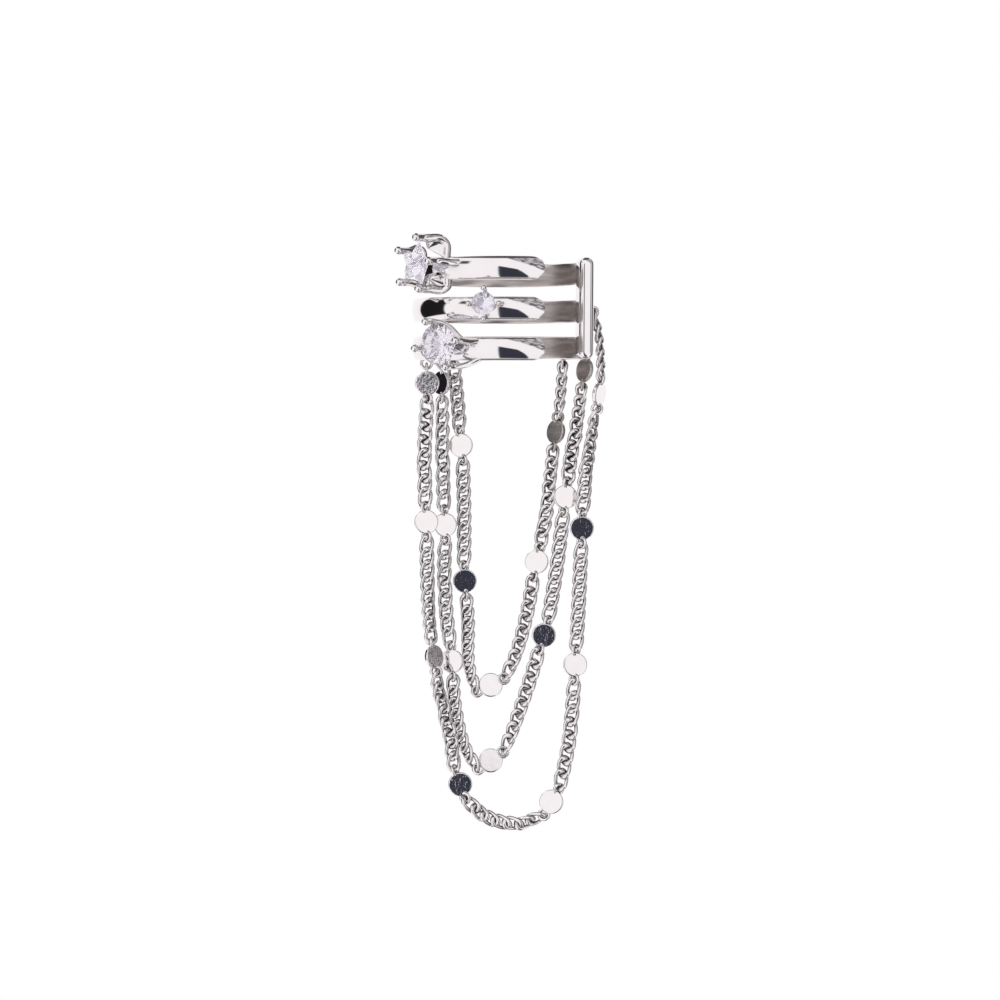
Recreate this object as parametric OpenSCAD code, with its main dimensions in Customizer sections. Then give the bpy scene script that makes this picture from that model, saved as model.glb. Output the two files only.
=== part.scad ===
// Ear cuff of three open bands with three stones and three hanging chains, in millimetres.
// The origin is the middle of the ring of bands. +X points to the upright bar, +Y to the back
// and +Z up. An angle on the ring is measured from the front, towards the bar.

/* [Bands] */
// Outer radius of the ring of bands
band_radius = 7.28; // [7:0.02:7.8]
// Thickness of a band, from its outer to its inner face
band_thickness = 0.95; // [0.85:0.05:1.1]
// Height of one band
band_height = 1.85; // [1.7:0.05:2]
// Open space between two bands at the front
band_space = 1.35; // [1.2:0.05:1.6]
// Bulge of the outer face of a band
band_bulge = 0.25; // [0.15:0.05:0.35]
// How much higher the middle band lies at the back than at the front
middle_rise = 0.25; // [0:0.05:0.4]
// How much higher the lower band lies at the back than at the front
lower_rise = 0.6; // [0.3:0.05:0.8]
// Angle of the rounded front tips
tip_angle = 27; // [20:1:32]

/* [Upright bar] */
// Angle of the bar that joins the back ends of the bands
bar_angle = 105; // [100:1:110]
// Width of the bar along the ring
bar_width = 1.75; // [1.5:0.05:2]
// Thickness of the bar, measured outwards
bar_thickness = 1.2; // [1.05:0.05:1.3]
// How far the bar stands above the upper band
bar_above = 0.35; // [0.2:0.05:0.6]
// Lean of the bar along the ring
bar_lean = 1.7; // [0:0.1:3]

/* [Stones] */
// Angle of the star stone on the upper band
star_angle = -52; // [-56:1:-48]
// Size of the star stone, from its middle to a point
star_reach = 1.74; // [1.6:0.02:1.8]
// Angle of the round stone on the lower band
round_angle = -36; // [-40:1:-32]
// Diameter of the round stone
round_diameter = 3.3; // [3:0.05:3.4]
// Angle of the small stone on the middle band
small_angle = -11; // [-14:1:-4]
// Diameter of the small stone
small_diameter = 1.86; // [1.6:0.02:1.9]
// Height of a stone's middle above its band's middle
setting_rise = 0.35; // [0.2:0.05:0.4]

/* [Claws] */
// Thickness of the star's five claws
star_claw = 0.56; // [0.5:0.02:0.6]
// Thickness of the round stone's four claws
round_claw = 0.5; // [0.44:0.02:0.56]
// Thickness of the small stone's four claws
small_claw = 0.34; // [0.3:0.02:0.4]
// How far the tips of the large claws stand out from the band
large_claw_height = 1.8; // [1.7:0.05:2]
// How far the tips of the small claws stand out from the band
small_claw_height = 0.75; // [0.7:0.05:0.9]
// Thickness of the petals that fill the bends of the star's right claws
petal_thickness = 0.3; // [0.26:0.02:0.34]
// Clearance between a stone and its claws
stone_clearance = 0.12; // [0.08:0.01:0.2]

/* [Chains] */
// Thickness of the wire of a link
wire = 0.24; // [0.23:0.01:0.26]
// Outer width of a link
link_width = 1.18; // [1.16:0.02:1.2]
// Clearance between two links where they hook together
link_clearance = 0.18; // [0.16:0.01:0.19]
// Links between two discs
links_between = 8; // [7:1:8]
// Links between the two lowest discs of the outer chain
bottom_links = 7; // [6:1:7]
// Links above the first disc of the inner chain
inner_start_links = 5; // [4:1:5]
// Links above the last disc of the inner chain
inner_end_links = 4; // [4:1:5]
// Links above the last disc of the outer chain
outer_end_links = 5; // [4:1:5]

/* [Discs] */
// Diameter of a disc
disc_diameter = 1.96; // [1.8:0.02:2.1]
// Thickness of a disc
disc_thickness = 0.34; // [0.28:0.02:0.4]
// Outer diameter of the rings on a disc and of the loops on the cuff
ring_diameter = 1.06; // [1.04:0.02:1.1]
// Thickness of the wire of a ring or loop
ring_wire = 0.24; // [0.2:0.01:0.26]
// Clearance between a disc's rim and the link that hooks its ring
rim_clearance = 0.1; // [0.08:0.01:0.14]

/* [Chain loops] */
// How deep a loop is sunk into the metal that it is soldered to
loop_sink = 0.22; // [0.16:0.02:0.26]
// Angle of the outer chain's loop under the lower band
outer_loop_angle = -115; // [-118:1:-112]
// Angle of the middle chain's loop under the lower band
middle_loop_angle = -133; // [-135:1:-131]
// Angle of the inner chain's left loop under the lower band
inner_loop_angle = -144; // [-146:1:-142]
// Angle of the inner chain's right loop under the lower band
inner_right_loop_angle = 134; // [132:1:136]
// Angle of the middle chain's right loop, on the lower band behind the bar
behind_loop_angle = 116; // [115:1:117]
// Height of the middle chain's right loop
behind_loop_height = -2.95; // [-3.1:0.05:-2.8]
// Angle of the outer chain's right loop on the bar
bar_loop_angle = 109; // [107:1:110]
// Height of the outer chain's right loop on the bar
bar_loop_height = 0.1; // [-0.2:0.1:0.4]

/* [Hidden] */
$fn = 48;

// Bands from the lowest up: how much higher each lies at the back
band_rises = [lower_rise, middle_rise, 0];
band_step = band_height + band_space;
band_middle = band_radius - band_thickness / 2;
bulge_radius = (band_height * band_height / 4 + band_bulge * band_bulge) / (2 * band_bulge);
// Rounding of a band's tip, a little over half its height so that it leaves no step
tip_round = band_height * 0.525;
// Rounding of the bar's ends and long edges, as shares of its thickness and its diagonal
bar_end_share = 0.52;
bar_edge_share = 0.93;
// Height of a large stone's girdle over the band, as a share of the claw height
star_lift = 0.72;
round_lift = 0.75;
// Size of the ball on a claw and of its bends, as shares of the claw's thickness, and where a
// claw's straight tip ends, as a share of the claw height
claw_ball = 1.3;
claw_bend = 1.04;
claw_knee = 0.5;
// Inner corner of a petal, as shares of the claw circle and of the claw height
petal_reach = 0.6;
petal_lift = 0.3;
bar_outside = band_middle + bar_thickness / 2;

// Claws: the angle of the tip, the sideways, upward and outward place of the shoulder, the
// sideways place of the root, and the band edge that it is soldered to: 1 upper, -1 lower,
// 0 the face. Places are shares of the claw circle, and the outward one of the claw height.
star_claws = [
    [4, 1.18, 0.02, 0.25, 1.25, 0],
    [76, 0.50, 0.86, -0.28, 0.64, 1],
    [148, -0.88, 0.60, -0.15, -0.80, 1],
    [220, -0.84, -0.68, -0.15, -0.80, -1],
    [292, 0.60, -0.86, -0.28, 0.70, -1]
];
round_claws = [
    [9, 1.05, 0.12, 0.25, 1.15, 0],
    [118, -0.10, 0.76, 0.08, 0.42, 1],
    [189, -1.02, -0.16, 0.25, -1.08, 0],
    [300, 0.80, -0.80, 0.05, 1.20, -1]
];
small_claws = [
    [0, 1.05, 0, 0.35, 1.08, 0],
    [90, 0, 0.90, 0.15, 0, 1],
    [180, -1.05, 0, 0.35, -1.08, 0],
    [270, 0, -1, 0.15, 0, -1]
];
star_circle = star_reach + stone_clearance + star_claw / 2;
round_circle = round_diameter / 2 + stone_clearance + round_claw / 2;
small_circle = small_diameter / 2 + stone_clearance + small_claw / 2;

// Half the distance between the wires of two hooked links
hook = (wire + link_clearance) / 2;
bend = (link_width - wire) / 2;
ring_bend = (ring_diameter - ring_wire) / 2;
loop_reach = ring_diameter / 2 - loop_sink;
ring_place = disc_diameter / 2 + rim_clearance + wire / 2;
link_turn = 45;

// Discs of each chain: the lean of the line through its rings from straight down towards +X,
// the turn of its flat side from the front, and its middle: x, y, z. A disc that hangs straight
// from a loop has the turn of that loop instead of its middle.
outer_discs = [
    [2, 0, 0],
    [2, -12, -6.2, 2.9, -16.8],
    [8, -48, -5.55, 2.9, -27.7],
    [20, 4, -3.45, 2.8, -37.95],
    [150, -8, 3.9, 2.4, -39.35],
    [176, 8, 5.8, 2.2, -28.3],
    [178, 0, 6.35, 2.1, -17.3],
    [172, 63, 7.75, 3, -6.5]
];
middle_discs = [
    [0, 50, 0],
    [2, -19, -4.7, 4.5, -17.05],
    [4, 17, -4.15, 4.25, -28.1],
    [124, 3, -1, 3.7, -36.1],
    [163, 0, 3.3, 3.3, -25.95],
    [172, 9, 5.05, 3.1, -14.8],
    [172, -54, 36]
];
inner_discs = [
    [6, 8, -3.4, 5.3, -10.6],
    [3, 0, -3.1, 5.2, -21.6],
    [115, 8, -1, 5, -30.05],
    [168, -12, 2.75, 4.9, -20.05],
    [172, -48, 4.3, 4.8, -9.5]
];

// Runs of links before, between and after the discs: the points that each passes, x, y, z and
// the turn of the flat side there
outer_runs = [
    [],
    [[-6.35, 2.9, -11.2, 0]],
    [[-6.1, 2.9, -20.7, -5], [-5.95, 2.9, -24.3, -35]],
    [[-5.25, 2.85, -30, -42], [-4.35, 2.8, -33.8, -15]],
    [
        [-2.25, 2.75, -40, -12], [-1.25, 2.65, -40.65, 0], [-0.15, 2.6, -41.05, 11],
        [1.05, 2.55, -41.15, 22], [2.2, 2.45, -40.9, 34]
    ],
    [[4.9, 2.35, -36.7, -10], [5.35, 2.25, -34.3, -2], [5.65, 2.2, -31.1, 5]],
    [[6.1, 2.15, -23.5, 4]],
    [[6.5, 2.15, -15.3, 0], [6.65, 2.25, -13, 18], [6.95, 2.55, -10.8, 40], [7.3, 2.85, -8.9, 58]],
    [[7.95, 3.1, -4.6, 70], [7.85, 3, -2.4, 75], [7.6, 2.75, -0.9, 75]]
];
middle_runs = [
    [],
    [[-4.95, 4.65, -7.9, 36], [-4.9, 4.6, -11.4, 0], [-4.8, 4.55, -14.4, -15]],
    [[-4.75, 4.4, -20.4, -10], [-4.6, 4.3, -24.4, 8]],
    [[-4.02, 4.1, -31, 22], [-3.45, 3.95, -34.1, 32], [-2.75, 3.8, -35.8, 40]],
    [[0.5, 3.65, -34.5, -40], [1.5, 3.5, -31.7, -20], [2.4, 3.4, -28.9, -5]],
    [[4.35, 3.2, -20.5, 4]],
    [[5.4, 3.05, -12, -2], [5.9, 3.15, -9.4, -25], [6.25, 3.25, -7.3, -47]],
    []
];
inner_runs = [
    [[-3.8, 5.4, -6, 8], [-3.6, 5.35, -7.9, 8]],
    [[-3.15, 5.25, -16, 3]],
    [[-2.85, 5.15, -25, 24], [-2.9, 5.1, -27.3, 35], [-2.8, 5.08, -28.5, 41], [-2.55, 5.05, -29.6, 48]],
    [[0.7, 5, -28.5, -37], [1.4, 5, -26.6, -22], [2.1, 4.95, -23.6, -12]],
    [[3.4, 4.9, -16.7, -16], [3.9, 4.85, -13, -34]],
    [[4.7, 4.8, -6.8, -58]]
];

function unit(v) = v / norm(v);
function sum(list, i = 0) = i < len(list) ? list[i] + sum(list, i + 1) : 0;

// A point on the ring at an angle, a distance from its middle and a height
function on_ring(angle, r, z) = [r * sin(angle), -r * cos(angle), z];

// Height of the lower band's lower edge at a distance behind its front
function lower_edge(y) =
    -band_step - band_height / 2 + lower_rise * (y + band_radius) / (2 * band_radius);

// Middle of a loop that is soldered under the lower band
function loop_under(angle) =
    let (y = -band_middle * cos(angle)) on_ring(angle, band_middle, lower_edge(y) - loop_reach);

loop_on_bar = on_ring(bar_loop_angle, bar_outside + loop_reach, bar_loop_height);
loop_behind_bar = on_ring(behind_loop_angle, band_radius + loop_reach, behind_loop_height);

// Each chain: the number of links in its runs, its two loops, its discs and its runs
outer_chain = [
    [0, for (i = [1:7]) i == 4 ? bottom_links : links_between, outer_end_links],
    loop_under(outer_loop_angle), loop_on_bar, outer_discs, outer_runs
];
middle_chain = [
    [0, for (i = [1:6]) links_between, 0],
    loop_under(middle_loop_angle), loop_behind_bar, middle_discs, middle_runs
];
inner_chain = [
    [inner_start_links, for (i = [1:4]) links_between, inner_end_links],
    loop_under(inner_loop_angle), loop_under(inner_right_loop_angle), inner_discs, inner_runs
];

function at(row) = [row[0], row[1], row[2]];

// The middles of a disc's two rings. The first or last disc may hang from a loop, with the
// middle of its ring's wire in the middle of the loop.
function disc_ends(chain, k) =
    let (
        row = chain[3][k],
        line = [sin(row[0]), 0, -cos(row[0])],
        hung = ring_bend + ring_place,
        middle = len(row) > 3 ? [row[2], row[3], row[4]]
            : k == 0 ? chain[1] + hung * line
            : chain[2] - hung * line
    )
    [middle - ring_place * line, middle + ring_place * line];

// Smooth curve through four neighbouring rows, from the second (t = 0) to the third (t = 1)
function smooth(p, q, r, s, t) =
    0.5 * (2 * q + (r - p) * t + (2 * p - 5 * q + 4 * r - s) * t * t
           + (3 * q - p - 3 * r + s) * t * t * t);
steps = 8;
function curve(rows) = [
    for (i = [0:len(rows) - 2], k = [0:steps - 1])
        smooth(rows[max(i - 1, 0)], rows[i], rows[i + 1], rows[min(i + 2, len(rows) - 1)], k / steps),
    rows[len(rows) - 1]
];

// Distance along a curve at each of its samples
function lengths(c, i = 1, so_far = [0]) =
    i == len(c) ? so_far
    : lengths(c, i + 1, [each so_far, so_far[i - 1] + norm(at(c[i]) - at(c[i - 1]))]);

// The curve's place and turn at a distance along it
function along(c, run, d) = [for (k = [0:3]) lookup(d, [for (i = [0:len(c) - 1]) [run[i], c[i][k]]])];

// The links of a run: their two ends, in the middle of the wire, and the turn of the flat side.
// A run starts and ends in the middle of a ring or loop, and its links overlap by two hooks.
function run_links(chain, i) =
    let (
        count = chain[0][i],
        rows = chain[4][i],
        n = len(chain[0]) - 1,
        start = i == 0 ? chain[1] : disc_ends(chain, i - 1)[1],
        end = i == n ? chain[2] : disc_ends(chain, i)[0]
    )
    count == 0 ? []
    : let (
        c = curve([concat(start, rows[0][3]), each rows, concat(end, rows[len(rows) - 1][3])]),
        run = lengths(c),
        pitch = (run[len(run) - 1] - 2 * hook) / count
    )
    [
        for (j = [0:count - 1])
            let (a = along(c, run, j * pitch), b = along(c, run, (j + 1) * pitch + 2 * hook))
            [at(a), at(b), (a[3] + b[3]) / 2]
    ];

// Turn of a loop on the cuff: square to the end of the link that hooks it, or given for a disc
function loop_turn(chain, last) =
    let (
        links = run_links(chain, last ? len(chain[0]) - 1 : 0),
        n = len(links) - 1
    )
    n < 0 ? chain[3][last ? len(chain[3]) - 1 : 0][2]
    : last ? links[n][2] - link_turn
    : links[0][2] + link_turn;

// Turns of a disc's two rings, square to the end of the link or to the loop that hooks them
function ring_turns(chain, k) =
    let (before = run_links(chain, k), after = run_links(chain, k + 1), n = len(before) - 1)
    [
        n < 0 ? loop_turn(chain, false) + 90 : before[n][2] - link_turn,
        len(after) == 0 ? loop_turn(chain, true) + 90 : after[0][2] + link_turn
    ];

// Puts a piece between two points: its length along X, its flat side turned from the front
module between(a, b, turn) {
    t = unit(b - a);
    side = unit(cross([0, -1, 0], t));
    face = cross(t, side);
    w = side * cos(turn) + face * sin(turn);
    n = cross(t, w);
    m = (a + b) / 2;
    multmatrix([[t[0], w[0], n[0], m[0]], [t[1], w[1], n[1], m[1]], [t[2], w[2], n[2], m[2]]])
        children();
}

// A link's middle line: two half circles whose planes are turned one way and the other
link_sides = 10;
wire_sides = 5;
function link_line(half, k) =
    let (
        right = k < link_sides / 2,
        a = right ? -90 + k * 45 : 90 + (k - link_sides / 2) * 45,
        x = (right ? half - bend : bend - half) + bend * cos(a),
        w = bend * sin(a),
        turn = link_turn * sin(90 * x / half)
    )
    [x, w * cos(turn), w * sin(turn)];

function link_points(half) = [
    for (k = [0:link_sides - 1])
        let (
            p = link_line(half, k),
            before = link_line(half, (k + link_sides - 1) % link_sides),
            after = link_line(half, (k + 1) % link_sides),
            t = unit(after - before),
            core = [max(min(p[0], half - bend), bend - half), 0, 0],
            out = unit((p - core) - t * ((p - core) * t)),
            up = cross(t, out)
        )
        for (j = [0:wire_sides - 1])
            let (a = j * 360 / wire_sides)
            p + (out * cos(a) + up * sin(a)) * wire / 2
];

// Faces of a closed loop of sections, each face in two triangles
function loop_faces(n, m) = [
    for (k = [0:n - 1], j = [0:m - 1])
        let (
            k2 = (k + 1) % n,
            j2 = (j + 1) % m
        )
        each [
            [k * m + j, k2 * m + j, k2 * m + j2],
            [k * m + j, k2 * m + j2, k * m + j2]
        ]
];

// A link, with the distance between the middles of its wire at both ends
module link(length) {
    polyhedron(link_points(length / 2), loop_faces(link_sides, wire_sides));
}

module ring() {
    rotate_extrude() translate([ring_bend, 0]) circle(d = ring_wire);
}

// A disc with a ring soldered to each end, each ring turned by its own angle
module disc(turns) {
    cylinder(d = disc_diameter, h = disc_thickness, center = true);
    for (end = [0, 1])
        translate([(2 * end - 1) * ring_place, 0, 0]) rotate([turns[end], 0, 0]) ring();
}

module chain_links(chain) {
    color("silver")
        for (i = [0:len(chain[0]) - 1], l = run_links(chain, i))
            between(l[0], l[1], l[2]) link(norm(l[1] - l[0]));
}

module chain_disc(chain, number) {
    ends = disc_ends(chain, number - 1);
    turn = chain[3][number - 1][1];
    turns = ring_turns(chain, number - 1);
    color("whitesmoke") between(ends[0], ends[1], turn) disc([turns[0] - turn, turns[1] - turn]);
}

// A loop on the cuff, in line with the piece that hangs from it
module loop(chain, last) {
    middle = last ? chain[2] : chain[1];
    links = run_links(chain, last ? len(chain[0]) - 1 : 0);
    ends = len(links) > 0
        ? links[last ? len(links) - 1 : 0]
        : disc_ends(chain, last ? len(chain[3]) - 1 : 0);
    line = unit(ends[1] - ends[0]);
    between(middle - line, middle + line, loop_turn(chain, last)) ring();
}

// Puts a piece at the level of a band, tilted as that band is
module at_band(level) {
    translate([0, -band_radius, (level - 1) * band_step])
        rotate([atan(band_rises[level] / (2 * band_radius)), 0, 0])
            translate([0, band_radius, 0]) children();
}

// Puts a piece on the outer face of a band: X along the ring, Y up and Z outwards
module on_band(level, angle) {
    at_band(level) rotate([0, 0, angle]) translate([0, -band_radius, 0]) rotate([90, 0, 0]) children();
}

module band_section() {
    intersection() {
        translate([band_radius - band_thickness, -band_height / 2]) square([band_thickness, band_height]);
        translate([band_radius - bulge_radius, 0]) circle(r = bulge_radius);
    }
}

// A band from the bar round the back to its rounded tip: it is turned a little past the tip
// and then cut back to a half circle
module band() {
    past_tip = 6;
    cutter = 2 * band_height;
    round_angle_at = tip_angle - tip_round / band_middle * 180 / PI;
    difference() {
        rotate([0, 0, bar_angle - 90])
            rotate_extrude(angle = 360 - bar_angle + tip_angle + past_tip) band_section();
        rotate([0, 0, round_angle_at]) translate([0, -band_radius, 0]) difference() {
            translate([tip_round / 5, -cutter / 2, -cutter / 2]) cube(cutter);
            rotate([90, 0, 0]) cylinder(r = tip_round, h = 2 * cutter, center = true);
        }
    }
}

module bar() {
    top = band_step + band_height / 2 + bar_above;
    bottom = lower_edge(-band_middle * cos(bar_angle));
    length = top - bottom;
    end_round = bar_thickness * bar_end_share;
    rotate([0, 0, bar_angle])
        translate([0, -band_middle, (top + bottom) / 2])
            rotate([0, -bar_lean, 0]) intersection() {
                linear_extrude(length, center = true) intersection() {
                    square([bar_width, bar_thickness], center = true);
                    circle(d = norm([bar_width, bar_thickness]) * bar_edge_share);
                }
                union() {
                    cube([2 * bar_width, 2 * bar_thickness, length - 2 * end_round], center = true);
                    for (end = [-1, 1])
                        translate([0, 0, end * (length / 2 - end_round)])
                            rotate([0, 90, 0]) cylinder(r = end_round, h = 2 * bar_width, center = true);
                }
            }
}

module rod(a, b, d) {
    v = b - a;
    translate(a) rotate([0, acos(v[2] / norm(v)), atan2(v[1], v[0])]) cylinder(h = norm(v), d = d);
}

// How far the band's outer face falls away at a distance to the side
function face_drop(x) = band_radius - sqrt(band_radius * band_radius - x * x);

// A flat three-cornered plate
module plate(corners, thickness) {
    n = unit(cross(corners[1] - corners[0], corners[2] - corners[0])) * thickness / 2;
    polyhedron(
        [for (side = [1, -1], corner = corners) corner + side * n],
        [[2, 1, 0], [3, 4, 5], [0, 1, 4, 3], [1, 2, 5, 4], [2, 0, 3, 5]]
    );
}

// One bent claw, from its rounded tip over the stone to its root on the band. A petal fills
// the bend of a claw that comes from the right along a band's edge.
module claw(row, circle_radius, height, d, petal = 0) {
    tip = [circle_radius * cos(row[0]), circle_radius * sin(row[0]), height];
    sx = row[1] * circle_radius;
    shoulder = [sx, row[2] * circle_radius, row[3] * height - face_drop(sx)];
    rx = row[4] * circle_radius;
    edge = band_height / 2 - d / 3;
    root = row[5] == 0
        ? [rx, shoulder[1], -face_drop(rx) - d]
        : [rx, row[5] * edge - setting_rise, -face_drop(rx) - band_thickness / 2];
    knee = [tip[0], tip[1], height * claw_knee];
    rod(tip, knee, d);
    rod(knee, shoulder, d);
    rod(shoulder, root, d);
    for (corner = [knee, shoulder]) translate(corner) sphere(d = d * claw_bend);
    translate(tip) sphere(d = d * claw_ball);
    if (petal > 0 && row[5] != 0 && row[4] > 0) {
        inner = [tip[0] * petal_reach, tip[1] * petal_reach, height * petal_lift];
        plate([inner, knee, shoulder], petal);
        plate([inner, shoulder, root], petal);
    }
}

module claws(level, angle, rows, circle_radius, height, d, petal = 0) {
    on_band(level, angle) translate([0, setting_rise, 0])
        for (row = rows) claw(row, circle_radius, height, d, petal);
}

module cuff_frame() {
    color("gainsboro") {
        for (level = [0:2]) at_band(level) band();
        bar();
        claws(2, star_angle, star_claws, star_circle, large_claw_height, star_claw, petal_thickness);
        claws(0, round_angle, round_claws, round_circle, large_claw_height, round_claw);
        claws(1, small_angle, small_claws, small_circle, small_claw_height, small_claw);
        for (chain = [outer_chain, middle_chain, inner_chain], last = [false, true])
            loop(chain, last);
    }
}

// A ring of points: n points of a radius at a height, the first at an angle
function level_points(n, r, z, first = 0) = [
    for (i = [0:n - 1]) let (a = first + i * 360 / n) [r * cos(a), r * sin(a), z]
];

// A brilliant: an eight-sided table, stars, kites and halves above the girdle, and mains and
// halves below it. Heights and radii are shares of its diameter.
table_share = 0.29;
star_share = 0.4;
crown_share = 0.15;
girdle_share = 0.03;
belly_share = 0.13;
depth_share = 0.37;
module brilliant(d) {
    points = [
        each level_points(8, table_share * d, (girdle_share + crown_share) * d),
        each level_points(8, star_share * d, (girdle_share + crown_share * 0.6) * d, 22.5),
        each level_points(16, d / 2, girdle_share * d),
        each level_points(16, d / 2, 0),
        each level_points(8, belly_share * d, -depth_share * 0.72 * d, 22.5),
        [0, 0, -depth_share * d]
    ];
    s = 8;
    g = 16;
    b = 32;
    p = 48;
    tip = 56;
    faces = [
        [7, 6, 5, 4, 3, 2, 1, 0],
        for (i = [0:7]) let (n = (i + 1) % 8, l = (i + 7) % 8, h = 2 * i + 1, e = (2 * i + 2) % 16) each [
            [i, n, s + i],
            [i, s + i, g + 2 * i],
            [i, g + 2 * i, s + l],
            [s + i, g + h, g + 2 * i],
            [s + i, g + e, g + h],
            [p + i, b + 2 * i, b + h],
            [p + i, b + h, b + e],
            [tip, p + l, b + 2 * i],
            [tip, b + 2 * i, p + i]
        ],
        for (i = [0:15]) let (n = (i + 1) % 16) each [[g + i, g + n, b + n], [g + i, b + n, b + i]]
    ];
    polyhedron(points, faces);
}

// A star-shaped stone with a star-shaped table and a pointed underside
star_notch = 0.56;
star_table = 0.5;
star_crown = 0.3;
star_girdle = 0.12;
star_depth = 0.62;
module star_cut(reach) {
    function outline(k, z) = [
        for (i = [0:9])
            let (r = k * reach * (i % 2 == 0 ? 1 : star_notch)) [r * cos(i * 36), r * sin(i * 36), z]
    ];
    points = [
        each outline(star_table, (star_crown + star_girdle) * reach),
        each outline(1, star_girdle * reach),
        each outline(1, 0),
        [0, 0, -star_depth * reach],
        [0, 0, (star_crown + star_girdle) * reach]
    ];
    faces = [
        for (i = [0:9]) let (n = (i + 1) % 10) each [
            [31, n, i],
            [i, n, 10 + n], [i, 10 + n, 10 + i],
            [10 + i, 10 + n, 20 + n], [10 + i, 20 + n, 20 + i],
            [30, 20 + i, 20 + n]
        ]
    ];
    polyhedron(points, faces);
}

module set_stone(level, angle, lift) {
    color("lavender") on_band(level, angle) translate([0, setting_rise, lift]) children();
}

module star_stone() {
    set_stone(2, star_angle, large_claw_height * star_lift)
        rotate([0, 0, star_claws[0][0]]) star_cut(star_reach);
}

module round_stone() {
    set_stone(0, round_angle, large_claw_height * round_lift) brilliant(round_diameter);
}

module small_stone() {
    set_stone(1, small_angle, depth_share * small_diameter + stone_clearance) brilliant(small_diameter);
}

cuff_frame();
star_stone();
round_stone();
small_stone();
chain_links(outer_chain);  // chain_outer
chain_links(middle_chain);  // chain_middle
chain_links(inner_chain);  // chain_inner
for (i = [1:8])
    chain_disc(outer_chain, i);
for (i = [1:7])
    chain_disc(middle_chain, i);
for (i = [1:5])
    chain_disc(inner_chain, i);
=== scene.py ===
import math
import bmesh
import bpy
import numpy as np
from mathutils import Matrix, Vector


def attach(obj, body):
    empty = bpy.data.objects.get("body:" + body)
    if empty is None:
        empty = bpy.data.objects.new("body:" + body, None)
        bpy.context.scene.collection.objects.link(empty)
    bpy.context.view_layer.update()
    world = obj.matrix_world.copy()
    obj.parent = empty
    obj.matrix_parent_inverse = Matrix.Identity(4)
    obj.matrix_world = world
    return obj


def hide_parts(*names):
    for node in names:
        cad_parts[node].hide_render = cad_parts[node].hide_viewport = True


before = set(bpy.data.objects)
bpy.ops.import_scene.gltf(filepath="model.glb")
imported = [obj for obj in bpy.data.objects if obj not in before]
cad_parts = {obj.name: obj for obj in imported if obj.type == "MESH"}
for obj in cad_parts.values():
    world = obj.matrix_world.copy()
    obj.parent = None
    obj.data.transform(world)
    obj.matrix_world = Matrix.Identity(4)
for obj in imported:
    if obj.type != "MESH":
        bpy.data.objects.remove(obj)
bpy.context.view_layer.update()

# Pieces are modelled in millimetres and brought to metres when they are finished
mm = 0.001
turned = math.radians


# A shader value, which adds, subtracts and multiplies like a number
class Value:
    def __init__(self, tree, socket):
        self.tree = tree
        self.socket = socket

    def calculate(self, operation, *others):
        node = self.tree.nodes.new("ShaderNodeMath")
        node.operation = operation
        for place, other in enumerate((self, *others)):
            if isinstance(other, Value):
                self.tree.links.new(other.socket, node.inputs[place])
            else:
                node.inputs[place].default_value = other
        return Value(self.tree, node.outputs[0])

    def clamped(self):
        self.socket.node.use_clamp = True
        return self

    def __add__(self, other):
        return self.calculate("ADD", other)

    def __sub__(self, other):
        return self.calculate("SUBTRACT", other)

    def __rsub__(self, other):
        return (self * -1) + other

    def __mul__(self, other):
        return self.calculate("MULTIPLY", other)


class Shading:
    def __init__(self, tree):
        self.tree = tree
        tree.nodes.clear()

    def node(self, kind, settings=None, sockets=None, out=0):
        made = self.tree.nodes.new("ShaderNode" + kind)
        for name, value in (settings or {}).items():
            setattr(made, name, value)
        for name, value in (sockets or {}).items():
            socket = made.inputs[name]
            if isinstance(value, Value):
                self.tree.links.new(value.socket, socket)
            elif isinstance(value, tuple) and len(value) == 3 and socket.type == "RGBA":
                socket.default_value = (*value, 1)
            else:
                socket.default_value = value
        return Value(self.tree, made.outputs[out]) if len(made.outputs) else made

    def mixed(self, factor, first, second):
        # sockets 6 and 7 of a colour mix are its two colours, output 2 is the result
        return self.node("Mix", {"data_type": "RGBA"}, {0: factor, 6: first, 7: second}, out=2)

    def rising(self, value, edge, soft):
        limits = {"Value": value, "From Min": edge - soft, "From Max": edge + soft}
        return self.node("MapRange", {"interpolation_type": "SMOOTHSTEP"}, limits)

    def between(self, value, low, high, soft):
        rise = self.rising(value, low, soft)
        fall = self.rising(value, high, soft)
        return rise * (1 - fall)


def newMaterial(name):
    material = bpy.data.materials.new(name)
    material.use_nodes = True
    return material, Shading(material.node_tree)


# Scratches are drawn out along an axis by "stretch". "deep" is the relief's height and "reach"
# how near other metal must be for painted shade to darken a crevice, both in metres.
silverLook = {
    "colour": (0.93, 0.915, 0.92),
    "wornAndShaded": (0.86, 0.835, 0.835),
    "wearAndShade": 0.7,
    "contrast": 1,
    "roughness": 0.05,
    "scratch": 0.05,
    "patchScale": 900,
    "patchDetail": 3.0,
    "patchRelief": 0.7,
    "drawnPatches": False,
    "scratchScale": 4200,
    "scratchDetail": 4.0,
    "scratchRelief": 0.3,
    "stretch": (1.0, 1.0, 0.18),
    "bump": 0.05,
    "deep": 0.00002,
    "creviceShade": 0.6,
    "reach": 0.0006,
    "dark": (0.2, 0.17, 0.16),
    "samples": 8,
}
discLook = dict(
    silverLook,
    colour=(0.95, 0.935, 0.935),
    roughness=0.035,
    bump=0.12,
    patchScale=1500,
    creviceShade=0,
)
hammeredLook = dict(
    discLook,
    colour=(0.97, 0.95, 0.98),
    bump=1.0,
    deep=0.000034,
    patchScale=3600,
    scratchScale=9000,
)
chainLook = dict(
    silverLook,
    roughness=0.07,
    scratch=0.06,
    bump=0.04,
    # the strongest painted shade, darkening the colour between the links
    creviceShade=1.9,
    reach=0.0005,
    dark=(0.12, 0.1, 0.1),
)
claspLook = dict(silverLook, bump=0.35, patchScale=2600, creviceShade=1.0)
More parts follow.
